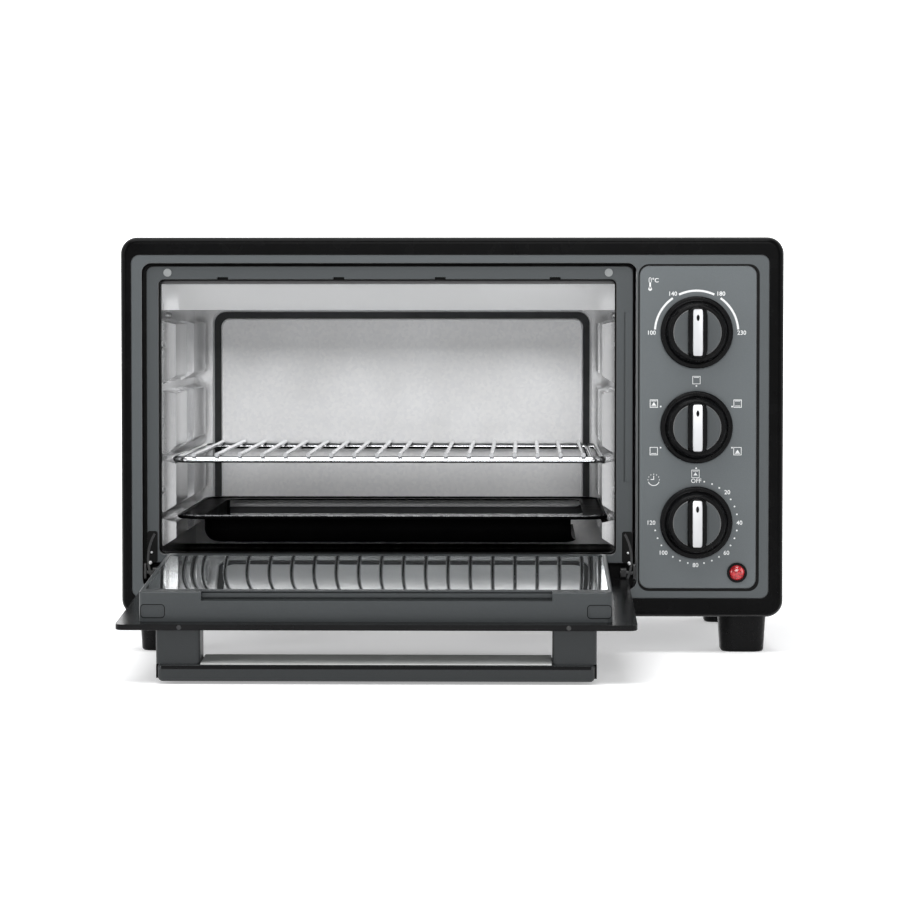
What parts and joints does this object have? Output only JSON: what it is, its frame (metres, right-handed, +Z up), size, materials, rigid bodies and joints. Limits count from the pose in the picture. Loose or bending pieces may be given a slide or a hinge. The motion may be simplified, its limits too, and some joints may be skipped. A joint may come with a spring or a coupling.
{
  "type": "toaster oven",
  "caption": "Countertop toaster oven with a drop-down glass door, towel-bar handle, three rotary knobs, indicator lamp, wire rack and baking pan.",
  "frame": {"origin": "on the worktop, at the centre of the rectangle that holds the oven with its door lying open; the case's front border is 65 mm towards -Y", "axes": "+Z up from the feet, -Y out of the door side towards the person using it, +X to that person's right, where the knobs are"},
  "size_m": [0.4772, 0.5524, 0.3],
  "materials": {
    "black_enamel": "gloss",
    "frame_black": "gloss",
    "door_black": "gloss",
    "fascia_graphite": "satin",
    "handle_graphite": "satin",
    "casing_black": "satin",
    "graphite": "satin",
    "control_graphite": "satin",
    "dark_steel": "satin",
    "aluminised_steel": "satin",
    "zinc_steel": "satin",
    "chrome": "gloss",
    "black_plastic": "gloss",
    "ceramic": "matte",
    "heater_sheath": "satin",
    "red_lens": "gloss",
    "silicone_grey": "matte",
    "clear_glass": "gloss",
    "brass": "satin",
    "wire_insulation": "matte",
    "foot_rubber": "satin",
    "switch_plastic": "matte"
  },
  "bodies": {
    "housing": {"front_frame": "frame_black", "fascia": "fascia_graphite", "control_panel": "control_graphite", "control_bracket": "zinc_steel", "seat_frame": "graphite", "seat_strip": "graphite", "door_bumpers": "silicone_grey", "front_chassis": "dark_steel", "cavity_flange": "dark_steel", "outer_casing": "casing_black", "base_plate": "zinc_steel", "rear_cover": "casing_black", "case_screws": "chrome", "rear_spacers": "foot_rubber", "cord_gland": "black_plastic", "foot_front_left": "black_plastic", "foot_front_right": "black_plastic", "foot_rear_left": "black_plastic", "foot_rear_right": "black_plastic", "foot_screws": "zinc_steel", "cavity_left_wall": "aluminised_steel", "cavity_right_wall": "aluminised_steel", "cavity_rear_wall": "aluminised_steel", "cavity_floor": "aluminised_steel", "cavity_ceiling": "aluminised_steel", "top_reflector": "aluminised_steel", "upper_elements": "heater_sheath", "lower_elements": "heater_sheath", "element_bushes": "ceramic", "heat_shield": "zinc_steel", "thermostat": "ceramic", "function_switch": "switch_plastic", "timer_mechanism": "switch_plastic", "timer_bell": "brass", "indicator_holder": "black_plastic", "indicator_lens": "red_lens", "terminal_block": "ceramic", "wiring_loom": "wire_insulation", "hinge_bracket_left": "zinc_steel", "hinge_bracket_right": "zinc_steel"},
    "door": {"door_panel": "door_black", "door_inner_frame": "graphite", "inner_pane": "clear_glass", "outer_pane": "clear_glass", "hinge_lugs": "zinc_steel", "handle_bar": "handle_graphite", "handle_brackets": "handle_graphite", "handle_screws": "zinc_steel", "handle_caps": "black_plastic"},
    "temperature_control": {"temperature_knob": "black_plastic", "temperature_knob_pointer": "chrome", "temperature_knob_spindle": "zinc_steel"},
    "function_control": {"function_knob": "black_plastic", "function_knob_pointer": "chrome", "function_knob_spindle": "zinc_steel"},
    "timer_control": {"timer_knob": "black_plastic", "timer_knob_pointer": "chrome", "timer_knob_spindle": "zinc_steel"},
    "rack": {"wire_rack": "chrome"},
    "pan": {"baking_pan": "black_enamel"}
  },
  "joints": [
    {"name": "door_hinge", "type": "hinge", "parent": "housing", "child": "door", "pos_m": [-0.0445, -0.0575, 0.0578], "axis": [1, 0, 0], "range_deg": [-93.7, 0]},
    {"name": "temperature_knob_turn", "type": "hinge", "parent": "housing", "child": "temperature_control", "pos_m": [0.176, -0.078, 0.2317], "axis": [0, 1, 0], "range_deg": [-90, 90]},
    {"name": "function_knob_turn", "type": "hinge", "parent": "housing", "child": "function_control", "pos_m": [0.176, -0.078, 0.1636], "axis": [0, 1, 0], "range_deg": [0, 300]},
    {"name": "timer_knob_turn", "type": "hinge", "parent": "housing", "child": "timer_control", "pos_m": [0.176, -0.078, 0.095], "axis": [0, 1, 0], "range_deg": [0, 270]},
    {"name": "rack_slide", "type": "slide", "parent": "housing", "child": "rack", "axis": [0, -1, 0], "range_m": [0, 0.25]},
    {"name": "pan_slide", "type": "slide", "parent": "housing", "child": "pan", "axis": [0, -1, 0], "range_m": [0, 0.25]}
  ]
}
